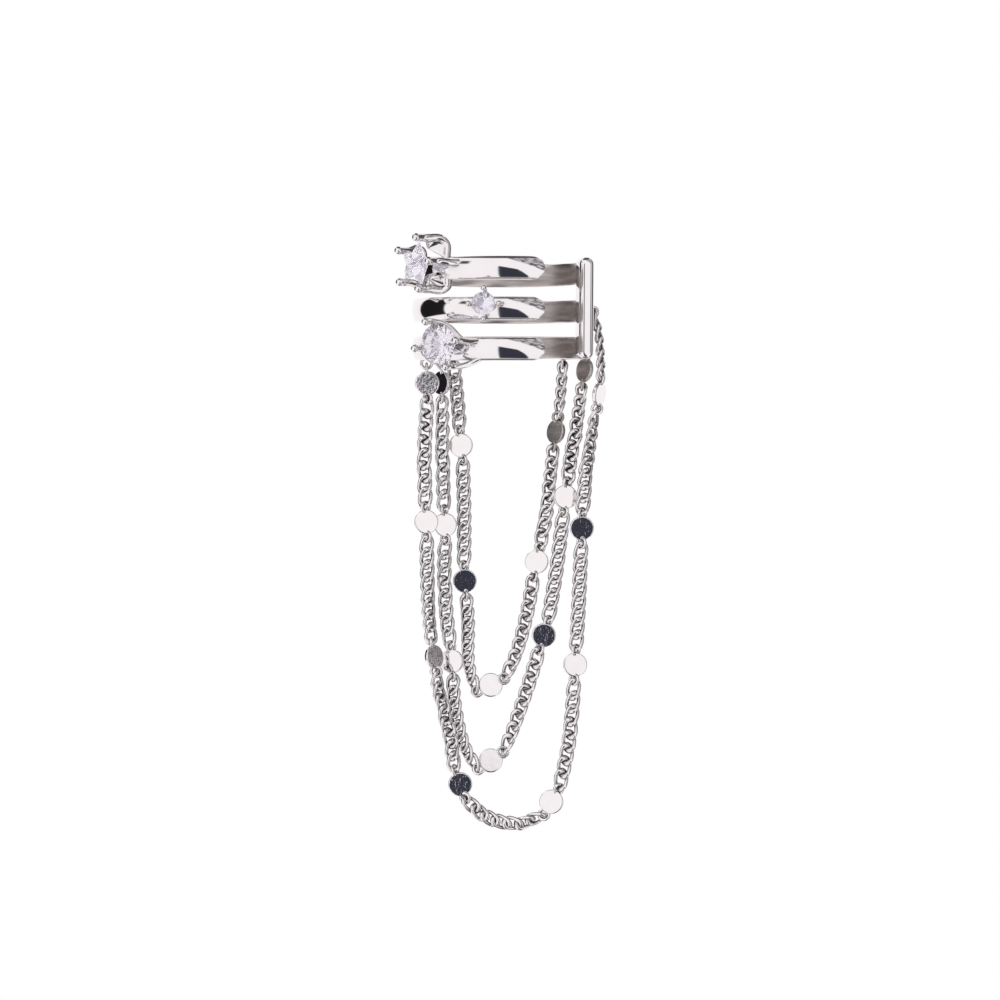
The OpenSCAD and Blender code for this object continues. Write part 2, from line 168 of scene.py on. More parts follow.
# The inside silver: a real satin roughness, with a darker colour and dark streaks that are
# painted shade
shadedInnerLook = dict(
    silverLook,
    colour=(0.74, 0.7, 0.68),
    wornAndShaded=(0.42, 0.38, 0.36),
    contrast=4,
    roughness=0.22,
    scratch=0.2,
    bump=0.3,
    patchScale=3200,
    drawnPatches=True,
    stretch=(0.12, 0.12, 1.0),
)


def silverMaterial(name, look):
    material, shade = newMaterial(name)
    place = shade.node("TexCoord", out="Object")
    drawn = shade.node("Mapping", None, {"Vector": place, "Scale": look["stretch"]})
    patches = shade.node("TexNoise", None, {
        "Vector": drawn if look["drawnPatches"] else place,
        "Scale": look["patchScale"],
        "Detail": look["patchDetail"],
    })
    scratches = shade.node("TexNoise", None, {
        "Vector": drawn,
        "Scale": look["scratchScale"],
        "Detail": look["scratchDetail"],
    })
    amount = ((patches - 0.5) * look["contrast"] + 0.5).clamped()
    # a worn tone; in the inside silver this darker tone is painted shade
    colour = shade.mixed(amount * look["wearAndShade"], look["colour"], look["wornAndShaded"])
    if look["creviceShade"]:
        # painted shade: the colour darkens where other metal hems the surface in
        near = {"samples": look["samples"]}
        openness = shade.node("AmbientOcclusion", near, {"Distance": look["reach"]}, out="AO")
        creviceShadeAmount = ((1 - openness) * look["creviceShade"]).clamped()
        colour = shade.mixed(creviceShadeAmount, colour, look["dark"])
    roughness = scratches * look["scratch"] + look["roughness"]
    relief = patches * look["patchRelief"] + scratches * look["scratchRelief"]
    relief = shade.node("Bump", None, {
        "Height": relief,
        "Strength": look["bump"],
        "Distance": look["deep"],
    })
    surface = shade.node("BsdfPrincipled", None, {
        "Base Color": colour,
        "Metallic": 1.0,
        "Roughness": roughness,
        "Normal": relief,
    })
    shade.node("OutputMaterial", None, {"Surface": surface})
    return material


crystalLook = {
    "clear": (0.96, 0.95, 0.985),
    "lilac": (0.86, 0.84, 0.94),
    "bend": 1.7,
    "glow": 0.4,
    "veilScale": 700,
    "veilDetail": 2.0,
    # how much of each stone is milky and glows with painted light
    "glowShares": {"star_stone": 0.24, "round_stone": 0.05, "small_stone": 0.1},
}


def crystalMaterial(name, look, glowShare):
    material, shade = newMaterial(name)
    place = shade.node("TexCoord", out="Object")
    veil = shade.node("TexNoise", None, {
        "Vector": place,
        "Scale": look["veilScale"],
        "Detail": look["veilDetail"],
    })
    colour = shade.mixed(veil, look["clear"], look["lilac"])
    body = {"Base Color": colour, "Roughness": 0.0, "IOR": look["bend"]}
    clear = dict(body, **{"Transmission Weight": 1.0})
    # the milky part glows: painted light that brightens the stone
    glowingMilkSockets = dict(body, **{"Emission Color": colour, "Emission Strength": look["glow"]})
    glass = shade.node("BsdfPrincipled", None, clear)
    glowingMilk = shade.node("BsdfPrincipled", None, glowingMilkSockets)
    surface = shade.node("MixShader", None, {0: glowShare, 1: glass, 2: glowingMilk})
    shade.node("OutputMaterial", None, {"Surface": surface})
    return material


silver = silverMaterial("rhodiumSilver", silverLook)
shadedInnerSilver = silverMaterial("satinWithPaintedShade", shadedInnerLook)
chainSilver = silverMaterial("chainSilver", chainLook)
discSilver = silverMaterial("mirrorSilver", discLook)
hammeredSilver = silverMaterial("hammeredSilver", hammeredLook)
claspSilver = silverMaterial("castSilver", claspLook)
print("finishes made")


def clearSelection():
    if bpy.context.mode != "OBJECT":
        bpy.ops.object.mode_set(mode="OBJECT")
    bpy.ops.object.select_all(action="DESELECT")


def selectOnly(pieces):
    clearSelection()
    for piece in pieces:
        piece.select_set(True)
    bpy.context.view_layer.objects.active = pieces[0]


def openMesh(piece, kind="VERT"):
    selectOnly([piece])
    bpy.ops.object.mode_set(mode="EDIT")
    bpy.ops.mesh.select_mode(type=kind)
    bpy.ops.mesh.select_all(action="DESELECT")


def choose(piece, part, test):
    mesh = bmesh.from_edit_mesh(piece.data)
    for item in getattr(mesh, part):
        if test(item):
            item.select_set(True)
    mesh.select_flush_mode()
    bmesh.update_edit_mesh(piece.data)


def reshape(piece, change):
    mesh = bmesh.from_edit_mesh(piece.data)
    for point in mesh.verts:
        point.co = change(point.co)
    bmesh.update_edit_mesh(piece.data)


def closeMesh(piece, merge=0.001):
    bpy.ops.mesh.select_all(action="SELECT")
    bpy.ops.mesh.remove_doubles(threshold=merge)
    bpy.ops.mesh.normals_make_consistent(inside=False)
    bpy.ops.object.mode_set(mode="OBJECT")


def applyModifier(piece, kind, **settings):
    selectOnly([piece])
    modifier = piece.modifiers.new(kind.lower(), kind)
    for name, value in settings.items():
        setattr(modifier, name, value)
    bpy.ops.object.modifier_apply(modifier=modifier.name)


def copyOf(piece, place):
    copied = piece.copy()
    copied.data = piece.data.copy()
    copied.data.transform(place)
    bpy.context.scene.collection.objects.link(copied)
    return copied


def joined(pieces, name):
    selectOnly(pieces)
    if len(pieces) > 1:
        bpy.ops.object.join()
    piece = bpy.context.view_layer.objects.active
    piece.name = name
    piece.data.name = name
    return piece


def finished(piece, material, nodes, angle):
    piece.data.transform(piece.matrix_world)
    piece.matrix_world = Matrix.Identity(4)
    piece.data.transform(Matrix.Scale(mm, 4))
    selectOnly([piece])
    bpy.ops.object.shade_smooth_by_angle(angle=turned(angle))
    piece.data.materials.clear()
    piece.data.materials.append(material)
    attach(piece, "root")
    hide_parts(*nodes)
    print("made", piece.name, len(piece.data.polygons), "faces")
    return piece


def matrixOf(middle, along, across, outward):
    place = Matrix.Identity(4)
    for column, axis in enumerate((along, across, outward, middle)):
        for row in range(3):
            place[row][column] = axis[row]
    return place


def mergedSolid(nodeName):
    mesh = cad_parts[nodeName].data
    mesh.calc_loop_triangles()
    points = np.zeros(len(mesh.vertices) * 3)
    mesh.vertices.foreach_get("co", points)
    corners = np.zeros(len(mesh.loop_triangles) * 3, dtype=np.int64)
    mesh.loop_triangles.foreach_get("vertices", corners)
    rounded = np.round(points.reshape(-1, 3) / mm, 4)
    merged, places = np.unique(rounded, axis=0, return_inverse=True)
    return merged, places.reshape(-1)[corners].reshape(-1, 3)


def looseParts(nodeName):
    points, faces = mergedSolid(nodeName)
    label = np.arange(len(points))
    while True:
        lowest = label[faces].min(axis=1)
        before = label.copy()
        for corner in range(3):
            np.minimum.at(label, faces[:, corner], lowest)
        if (before == label).all():
            break
    return [points[label == number] for number in np.unique(label)]


# A link's frame: along the chain, across its flat side, and out of it
def linkFrames(nodeName):
    frames = []
    for points in looseParts(nodeName):
        middle = points.mean(axis=0)
        axes = np.linalg.eigh(np.cov((points - middle).T))[1]
        along, across = axes[:, 2], axes[:, 1]
        reach = np.ptp((points - middle) @ along)
        frames.append({"middle": middle, "along": along, "across": across, "reach": reach})
    return frames


# A link is a curb link: a stretched ring that is fuller at its ends and twisted a quarter turn
# from end to end. It lies over a solid link of "cadWire" and passes its ends by "overlap". The
# halves of the ring are moved apart, but for points within "middle".
linkPlan = {
    "wire": 0.31,
    "width": 1.2,
    "reach": 1.6,
    "cadWire": 0.24,
    "overlap": 0.03,
    "sides": 10,
    "segments": 28,
    "twist": 90,
    "tilt": 12,
    "fuller": 0.5,
    "middle": 0.01,
    "smooth": 80,
}


def makeLink():
    plan = linkPlan
    bend = (plan["width"] - plan["wire"]) / 2
    straight = plan["reach"] / 2 - bend - plan["wire"] / 2
    clearSelection()
    bpy.ops.mesh.primitive_torus_add(
        major_segments=plan["segments"],
        minor_segments=plan["sides"],
        major_radius=bend,
        minor_radius=plan["wire"] / 2,
    )
    link = bpy.context.object

    # the wire grows fuller towards both ends
    def fuller(co):
        core = Vector((co.x, co.y, 0)).normalized() * bend
        return core + (co - core) * (1 + plan["fuller"] * (core.x / bend) ** 2)

    openMesh(link)
    reshape(link, fuller)
    bpy.ops.object.mode_set(mode="OBJECT")
    for end in (-1, 1):
        openMesh(link)
        choose(link, "verts", lambda point: point.co.x * end > plan["middle"])
        bpy.ops.transform.translate(value=(end * straight, 0, 0))
        bpy.ops.object.mode_set(mode="OBJECT")
    twist = turned(plan["twist"])
    applyModifier(link, "SIMPLE_DEFORM", deform_method="TWIST", deform_axis="X", angle=twist)
    link.data.transform(Matrix.Rotation(turned(plan["tilt"]), 4, "Z"))
    return link


def linkPlace(place):
    plan = linkPlan
    outward = np.cross(place["along"], place["across"])
    turn = matrixOf(place["middle"], place["along"], place["across"], outward)
    reach = place["reach"] + 2 * plan["overlap"] + plan["wire"] - plan["cadWire"]
    return turn @ Matrix.Diagonal((reach / plan["reach"], 1, 1, 1))


chainNodes = {
    "chain_outer": "outer_chain",
    "chain_middle": "middle_chain",
    "chain_inner": "inner_chain",
}
link = makeLink()
links = {node: linkFrames(node) for node in chainNodes}
for node, name in chainNodes.items():
    chain = joined([copyOf(link, linkPlace(place)) for place in links[node]], name)
    finished(chain, chainSilver, [node], linkPlan["smooth"])
bpy.data.objects.remove(link)


# "flatArea" tells the two flat sides from the rim, "ringsFrom" the rings from the disc
discPlan = {
    "diameter": 1.96,
    "thickness": 0.34,
    "rim": 0.09,
    "rimSegments": 4,
    "inset": 0.03,
    "sides": 64,
    "flatArea": 0.5,
    "ringBend": 0.41,
    "ringWire": 0.26,
    "ringPlace": 1.2,
    "ringsFrom": 1.1,
    "ringSegments": 32,
    "ringSides": 10,
    "smooth": 50,
}
# How a disc's face is tipped, in degrees: round its line, and down
discTips = {
    "outer_disc_1": (0.3, 0),
    "outer_disc_4": (-4, 7),
    "outer_disc_7": (-4, 7),
    "middle_disc_4": (0, -6),
    "middle_disc_5": (-4, 7),
    "inner_disc_2": (-4, 7),
    "inner_disc_3": (8, -8),
}
# Discs that aren't mirror silver. Two take the inside silver, whose darker colour is painted
# shade.
discFinishes = {
    hammeredSilver: (
        "outer_disc_1",
        "outer_disc_3",
        "outer_disc_4",
        "outer_disc_7",
        "middle_disc_1",
        "middle_disc_5",
        "inner_disc_2",
    ),
    shadedInnerSilver: ("middle_disc_7", "inner_disc_5"),
}


# A disc's frame, and the angle of each ring's plane round the line through both rings
def discFrame(nodeName):
    points, faces = mergedSolid(nodeName)
    a, b, c = (points[faces[:, corner]] for corner in range(3))
    normals = np.cross(b - a, c - a)
    outward = normals[np.argmax(np.linalg.norm(normals, axis=1))]
    outward = outward / np.linalg.norm(outward)
    if outward[1] > 0:
        outward = -outward
    middle = points.mean(axis=0)
    flat = points - middle
    flat = flat - np.outer(flat @ outward, outward)
    along = np.linalg.eigh(np.cov(flat.T))[1][:, 2]
    along = along if along[2] < 0 else -along
    across = np.cross(outward, along)
    for axis in (along, across, outward):
        spread = (points - middle) @ axis
        middle = middle + axis * (spread.max() + spread.min()) / 2
    rings = []
    for end in (-1, 1):
        beyond = (points - middle)[(points - middle) @ along * end > discPlan["ringsFrom"]]
        side, height = beyond @ across, beyond @ outward
        direction = np.linalg.eigh(np.cov(np.array([side, height])))[1][:, 1]
        rings.append(math.atan2(direction[1], direction[0]))
    return {
        "middle": middle,
        "along": along,
        "across": across,
        "outward": outward,
        "rings": rings,
    }


def makeDisc():
    plan = discPlan
    clearSelection()
    bpy.ops.mesh.primitive_cylinder_add(
        vertices=plan["sides"],
        radius=plan["diameter"] / 2,
        depth=plan["thickness"],
        end_fill_type="NGON",
    )
    disc = bpy.context.object
    openMesh(disc, "FACE")
    choose(disc, "faces", lambda face: face.calc_area() > plan["flatArea"])
    bpy.ops.mesh.bevel(offset=plan["rim"], segments=plan["rimSegments"], affect="EDGES")
    openMesh(disc, "FACE")
    choose(disc, "faces", lambda face: face.calc_area() > plan["flatArea"])
    # a narrow inset keeps the flat side flat up to its rim
    bpy.ops.mesh.inset(thickness=plan["inset"])
    closeMesh(disc)
    return disc


def makeRing():
    plan = discPlan
    clearSelection()
    bpy.ops.mesh.primitive_torus_add(
        major_segments=plan["ringSegments"],
        minor_segments=plan["ringSides"],
        major_radius=plan["ringBend"],
        minor_radius=plan["ringWire"] / 2,
    )
    return bpy.context.object


disc = makeDisc()
ring = makeRing()
discNodes = sorted(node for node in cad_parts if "_disc_" in node)
discs = {node: discFrame(node) for node in discNodes}
for node, place in discs.items():
    turn = matrixOf(place["middle"], place["along"], place["across"], place["outward"])
    roll, pitch = discTips.get(node, (0, 0))
    tip = Matrix.Rotation(turned(roll), 4, "X") @ Matrix.Rotation(turned(pitch), 4, "Y")
    pieces = [copyOf(disc, turn @ tip)]
    for end, angle in zip((-1, 1), place["rings"]):
        shift = Matrix.Translation((end * discPlan["ringPlace"], 0, 0))
        pieces.append(copyOf(ring, turn @ shift @ Matrix.Rotation(angle, 4, "X")))
    finish = next((look for look, nodes in discFinishes.items() if node in nodes), discSilver)
    coin = joined(pieces, node.replace("_disc_", "_coin_"))
    finished(coin, finish, [node], discPlan["smooth"])
bpy.data.objects.remove(disc)


bandPlan = {
    "radius": 7.275,
    "thickness": 0.95,
    "height": 1.85,
    "space": 1.35,
    "bulge": 0.25,
    # how far the back of a band stands above its front, from the lowest band up
    "rises": (0.6, 0.25, 0),
    # where the tips end and where the bar stands, in degrees from the front
    "tip": 27,
    "bar": 105,
    "corner": 0.17,
    "cornerSegments": 3,
    "longSide": 0.4,
    "sideCuts": 7,
    "steps": 120,
    # a tip's outline is a half circle made blunter, drawn up to "tipTurn" degrees
    "tipSteps": 9,
    "tipTurn": 88,
    "tipBlunt": 0.75,
    "merge": 0.0005,
    # a face that looks this squarely at the axis belongs to the inside
    "inward": 0.9,
    "smooth": 35,
}
bandStep = bandPlan["height"] + bandPlan["space"]
bandMiddle = bandPlan["radius"] - bandPlan["thickness"] / 2


# Where a band lies: tilted up towards the back, at its height
def atBand(level):
    rise = bandPlan["rises"][level]
    front = Matrix.Translation((0, -bandPlan["radius"], (level - 1) * bandStep))
    tilt = Matrix.Rotation(math.atan(rise / (2 * bandPlan["radius"])), 4, "X")
    return front @ tilt @ Matrix.Translation((0, bandPlan["radius"], 0))


def makeBand(level):
    plan = bandPlan
    half = plan["height"] / 2
    inside = plan["radius"] - plan["thickness"]
    bulgeRadius = (half * half + plan["bulge"] ** 2) / (2 * plan["bulge"])
    clearSelection()
    bpy.ops.mesh.primitive_plane_add(
        size=1,
        location=(0, -bandMiddle, 0),
        rotation=(0, turned(90), 0),
    )
    band = bpy.context.object
    band.scale = (plan["height"], plan["thickness"], 1)
    bpy.ops.object.transform_apply(location=True, rotation=True, scale=True)
    openMesh(band)
    bpy.ops.mesh.select_all(action="SELECT")
    bpy.ops.mesh.bevel(
        offset=plan["corner"],
        segments=plan["cornerSegments"],
        affect="VERTICES",
    )
    openMesh(band, "EDGE")
    choose(band, "edges", lambda edge: edge.calc_length() > plan["longSide"])
    bpy.ops.mesh.subdivide(number_cuts=plan["sideCuts"])
    bpy.ops.object.mode_set(mode="OBJECT")
    band.data.transform(Matrix.Rotation(turned(plan["bar"]), 4, "Z"))
    tipAngle = math.degrees(half / bandMiddle)
    sweep = turned(360 - plan["bar"] + plan["tip"] - tipAngle)
    openMesh(band, "FACE")
    bpy.ops.mesh.select_all(action="SELECT")
    bpy.ops.mesh.spin(steps=plan["steps"], angle=-sweep, center=(0, 0, 0), axis=(0, 0, 1))

    # the tip: the end is drawn out in steps that turn on and get lower
    arc, size = 0, 1
    for step in range(1, plan["tipSteps"] + 1):
        angle = turned(plan["tipTurn"]) * step / plan["tipSteps"]
        turn = -turned(tipAngle) * (math.sin(angle) - arc)
        height = math.cos(angle) ** plan["tipBlunt"]
        bpy.ops.mesh.extrude_region_move()
        bpy.ops.transform.rotate(value=turn, orient_axis="Z", center_override=(0, 0, 0))
        bpy.ops.transform.resize(value=(1, 1, height / size), center_override=(0, 0, 0))
        arc, size = math.sin(angle), height

    # the outer face is drawn in towards its edges
    def bulged(co):
        reach = math.hypot(co.x, co.y)
        fall = bulgeRadius - math.sqrt(bulgeRadius ** 2 - co.z ** 2)
        drawn = 1 - fall * (reach - inside) / plan["thickness"] / reach
        return Vector((co.x * drawn, co.y * drawn, co.z))

    reshape(band, bulged)
    closeMesh(band, plan["merge"])
    band.data.transform(atBand(level))
    return band


def facesInward(face):
    middle, facing = face.center, face.normal
    outwards = middle.x * facing.x + middle.y * facing.y
    return outwards < -bandPlan["inward"] * math.hypot(middle.x, middle.y)


bands = joined([makeBand(level) for level in range(3)], "three_bands")
finished(bands, silver, ["cuff_frame"], bandPlan["smooth"])
# the faces inside the bands take the satin silver with painted shade
bands.data.materials.append(shadedInnerSilver)
for face in bands.data.polygons:
    if facesInward(face):
        face.material_index = 1


barPlan = {
    "width": 1.75,
    "thickness": 1.2,
    "above": 0.35,
    "lean": 1.7,
    "ends": 0.58,
    "endSegments": 10,
    "edges": 0.4,
    "edgeSegments": 5,
    "sharp": 40,
    "smooth": 35,
}


# The height of the lowest band's lower edge, from front to back
def lowerEdge(y):
    plan = bandPlan
    back = (y + plan["radius"]) / (2 * plan["radius"])
    return -bandStep - plan["height"] / 2 + plan["rises"][0] * back


def makeBar():
    plan = barPlan
    top = bandStep + bandPlan["height"] / 2 + plan["above"]
    bottom = lowerEdge(-bandMiddle * math.cos(turned(bandPlan["bar"])))
    clearSelection()
    bpy.ops.mesh.primitive_cube_add(size=1)
    bar = bpy.context.object
    bar.scale = (plan["width"], plan["thickness"], top - bottom)
    bpy.ops.object.transform_apply(location=True, rotation=True, scale=True)

    def isCrosswise(edge):
        return abs((edge.verts[0].co - edge.verts[1].co).x) > plan["width"] / 2

    openMesh(bar, "EDGE")
    choose(bar, "edges", isCrosswise)
    bpy.ops.mesh.bevel(offset=plan["ends"], segments=plan["endSegments"], affect="EDGES")
    closeMesh(bar)
    applyModifier(
        bar,
        "BEVEL",
        width=plan["edges"],
        segments=plan["edgeSegments"],
        limit_method="ANGLE",
        angle_limit=turned(plan["sharp"]),
    )
    place = Matrix.Rotation(turned(bandPlan["bar"]), 4, "Z")
    place = place @ Matrix.Translation((0, -bandMiddle, (top + bottom) / 2))
    bar.data.transform(place @ Matrix.Rotation(turned(-plan["lean"]), 4, "Y"))
    return bar


bar = joined([makeBar()], "upright_bar")
finished(bar, silver, ["cuff_frame"], barPlan["smooth"])


# A setting stands on the front of a band, at an angle from the middle of the front. The tips of
# its claws stand on a circle. A claw is the angle of its tip, the sideways, upward and outward
# place of its shoulder, the sideways place of its root, and the edge of the band that it is
# soldered to. Places are shares of the circle and, outward, of the height. A ball is a share of
# the wire.
settingPlans = {
    "star_setting": {
        "level": 2,
        "angle": -52,
        "circle": 2.14,
        "height": 1.8,
        "wire": 0.66,
        "ball": 0.53,
        "petal": 0.36,
        "claws": (
            (4, 1.18, 0.02, 0.25, 1.25, 0),
            (76, 0.50, 0.86, -0.28, 0.64, 1),
            (148, -0.88, 0.60, -0.15, -0.80, 1),
            (220, -0.84, -0.68, -0.15, -0.80, -1),
            (292, 0.60, -0.86, -0.28, 0.70, -1),
        ),
    },
    "round_setting": {
        "level": 0,
        "angle": -36,
        "circle": 2.02,
        "height": 1.8,
        "wire": 0.5,
        "ball": 0.65,
        "petal": 0,
        "claws": (
            (9, 1.05, 0.12, 0.25, 1.15, 0),
            (118, -0.10, 0.76, 0.08, 0.42, 1),
            (189, -1.02, -0.16, 0.25, -1.08, 0),
            (300, 0.80, -0.80, 0.05, 1.20, -1),
        ),
    },
    "small_setting": {
        "level": 1,
        "angle": -11,
        "circle": 1.22,
        "height": 0.75,
        "wire": 0.34,
        "ball": 0.7,
        "petal": 0,
        "claws": (
            (0, 1.05, 0, 0.35, 1.08, 0),
            (90, 0, 0.90, 0.15, 0, 1),
            (180, -1.05, 0, 0.35, -1.08, 0),
            (270, 0, -1, 0.15, 0, -1),
        ),
    },
}
# The stone stands "rise" above the middle of its band. A petal starts just under the knee and
# ends at an inner corner, given as shares of the way to the tip.
clawPlan = {
    "rise": 0.35,
    "knee": 0.5,
    "petalTop": 1.05,
    "petalReach": 0.6,
    "petalLift": 0.3,
    "wireRings": 4,
    "ballSegments": 20,
    "ballRings": 12,
    "voxel": 0.045,
    "soften": 0.5,
    "softenings": 2,
    "smooth": 80,
}


def onBand(level, angle):
    face = Matrix.Translation((0, -bandPlan["radius"], 0)) @ Matrix.Rotation(turned(90), 4, "X")
    return atBand(level) @ Matrix.Rotation(turned(angle), 4, "Z") @ face


# How far the band's face falls away at a sideways place
def faceDrop(x):
    return bandPlan["radius"] - math.sqrt(bandPlan["radius"] ** 2 - x * x)


# A petal: the claw's path from its knee down, drawn together to an inner corner
def makePetal(path, tip, knee, thickness):
    petal = copyOf(path, Matrix.Identity(4))
    selectOnly([petal])
    bpy.ops.object.convert(target="MESH")
    petal = bpy.context.object
    openMesh(petal)
    choose(petal, "verts", lambda point: point.co.z > knee.z * clawPlan["petalTop"])
    bpy.ops.mesh.delete(type="VERT")
    bpy.ops.mesh.select_all(action="SELECT")
    bpy.ops.mesh.extrude_region_move()
    bpy.ops.mesh.merge(type="COLLAPSE")
    bpy.ops.object.mode_set(mode="OBJECT")
    reach, lift = clawPlan["petalReach"], clawPlan["petalLift"]
    petal.data.vertices[-1].co = (tip.x * reach, tip.y * reach, tip.z * lift)
    applyModifier(petal, "SOLIDIFY", thickness=thickness, offset=0)
    return petal


def makeClaw(claw, plan):
    angle, shoulderX, shoulderY, shoulderZ, rootX, edge = claw
    circle, height, wire = plan["circle"], plan["height"], plan["wire"]
    tip = Vector((circle * math.cos(turned(angle)), circle * math.sin(turned(angle)), height))
    knee = Vector((tip.x, tip.y, height * clawPlan["knee"]))
    sideways = shoulderX * circle
    shoulder = Vector((sideways, shoulderY * circle, shoulderZ * height - faceDrop(sideways)))
    rootWay = rootX * circle
    if edge == 0:
        root = Vector((rootWay, shoulder.y, -faceDrop(rootWay) - wire))
    else:
        up = edge * (bandPlan["height"] / 2 - wire / 3) - clawPlan["rise"]
        root = Vector((rootWay, up, -faceDrop(rootWay) - bandPlan["thickness"] / 2))
    clearSelection()
    bpy.ops.curve.primitive_bezier_curve_add()
    curve = bpy.context.object
    points = curve.data.splines[0].bezier_points
    points.add(2)
    for point, place in zip(points, (tip, knee, shoulder, root)):
        point.co = place
        point.handle_left_type = point.handle_right_type = "AUTO"
    curve.data.dimensions = "3D"
    pieces = []
    if plan["petal"] and edge and rootX > 0:
        # a petal fills the bend of the claw towards the stone
        pieces.append(makePetal(curve, tip, knee, plan["petal"]))
    selectOnly([curve])
    curve.data.bevel_depth = wire / 2
    curve.data.bevel_resolution = clawPlan["wireRings"]
    curve.data.use_fill_caps = True
    bpy.ops.object.convert(target="MESH")
    pieces.append(bpy.context.object)
    clearSelection()
    bpy.ops.mesh.primitive_uv_sphere_add(
        segments=clawPlan["ballSegments"],
        ring_count=clawPlan["ballRings"],
        radius=wire * plan["ball"],
        location=tip,
    )
    pieces.append(bpy.context.object)
    bpy.ops.object.transform_apply(location=True, rotation=True, scale=True)
    return pieces


for name, plan in settingPlans.items():
    setting = joined([piece for claw in plan["claws"] for piece in makeClaw(claw, plan)], name)
    applyModifier(setting, "REMESH", mode="VOXEL", voxel_size=clawPlan["voxel"])
    soften = {"factor": clawPlan["soften"], "iterations": clawPlan["softenings"]}
    applyModifier(setting, "SMOOTH", **soften)
    raised = Matrix.Translation((0, clawPlan["rise"], 0))
    setting.data.transform(onBand(plan["level"], plan["angle"]) @ raised)
    finished(setting, claspSilver, ["cuff_frame"], clawPlan["smooth"])


# The loops that hold the chains: the angle round the ring of bands, what the loop is soldered
# to, and its height there
loopPlan = {
    "outer_left": (-115, "edge", None),
    "middle_left": (-133, "edge", None),
    "inner_left": (-144, "edge", None),
    "inner_right": (134, "edge", None),
    "middle_right": (116, "band", -2.95),
    "outer_right": (109, "bar", 0.1),
}
loopReach = 0.31
# How a loop is turned round the chain's line, by what it holds
loopTurns = {"link": 45, "ring": 90}
loopSmooth = 80


def loopMiddle(angle, base, height):
    way = np.array([math.sin(turned(angle)), -math.cos(turned(angle)), 0])
    if base == "edge":
        spot = way * bandMiddle
        spot[2] = lowerEdge(spot[1]) - loopReach
        return spot
    outside = bandPlan["radius"] if base == "band" else bandMiddle + barPlan["thickness"] / 2
    spot = way * (outside + loopReach)
    spot[2] = height
    return spot


# A loop stands square to the end of the link or to the disc's ring that it holds
def loopPlace(middle):
    found = []
    for frames in links.values():
        for place in frames:
            reach = (place["reach"] - linkPlan["cadWire"]) / 2
            for end in (-1, 1):
                tail = place["middle"] + place["along"] * end * reach
                found.append((np.linalg.norm(tail - middle), place, -end, None))
    reach = discPlan["ringPlace"] + discPlan["ringBend"]
    for place in discs.values():
        for end, angle in zip((-1, 1), place["rings"]):
            tail = place["middle"] + place["along"] * end * reach
            found.append((np.linalg.norm(tail - middle), place, -end, angle))
    place, away, angle = min(found, key=lambda item: item[0])[1:]
    along = place["along"] * away
    if angle is None:
        across = place["across"]
        spin = loopTurns["link"]
    else:
        across = place["across"] * math.cos(angle) + place["outward"] * math.sin(angle)
        spin = loopTurns["ring"]
    turn = matrixOf(middle, along, across, np.cross(along, across))
    return turn @ Matrix.Rotation(turned(spin), 4, "X")


loops = [copyOf(ring, loopPlace(loopMiddle(*spot))) for spot in loopPlan.values()]
finished(joined(loops, "chain_loops"), silver, ["cuff_frame"], loopSmooth)
bpy.data.objects.remove(ring)


for node, glowShare in crystalLook["glowShares"].items():
    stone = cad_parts[node]
    crystal = crystalMaterial(node.replace("_stone", "Crystal"), crystalLook, glowShare)
    stone.data.materials.clear()
    stone.data.materials.append(crystal)
print("stones finished")


# Dark cards stand in a white room. Angles are in degrees from straight before the object
# towards its right side, and upwards.
room = {
    "white": (0.92, 0.89, 0.9),
    "strength": 1.08,
    # left, right, low and high edge, softness, colour, and how much of it shows
    "cards": {
        "ceiling": (-400, 400, 55, 100, 4, (0.02, 0.02, 0.022), 0.95),
        "ground": (-400, 400, -100, -60, 5, (0.06, 0.052, 0.05), 0.85),
        "left": (-130, -80, -20, 40, 2, (0.012, 0.011, 0.012), 1.0),
        "right": (74, 120, -50, 50, 4, (0.05, 0.042, 0.04), 0.96),
        "speck": (-60, -46, 20, 33, 3, (0.02, 0.02, 0.02), 0.95),
    },
    # a dark wedge before the object: its upper edge falls slowly, then faster
    "front": {
        "left": -6,
        "right": 46,
        "soft": 1.5,
        "low": -56,
        "lowSoft": 3,
        "top": 9,
        "slopes": ((-5, 0.65), (18, 1.1)),
        "colour": (0.034, 0.037, 0.052),
    },
    # a mottled patch above it, with a slanting lower edge
    "upper": {
        "left": 9,
        "right": 64,
        "soft": 2,
        "low": 48,
        "slope": 1.35,
        "top": 58,
        "topSoft": 3,
        "cells": 11,
        "depth": 1.4,
        "colour": (0.1, 0.1, 0.12),
    },
}


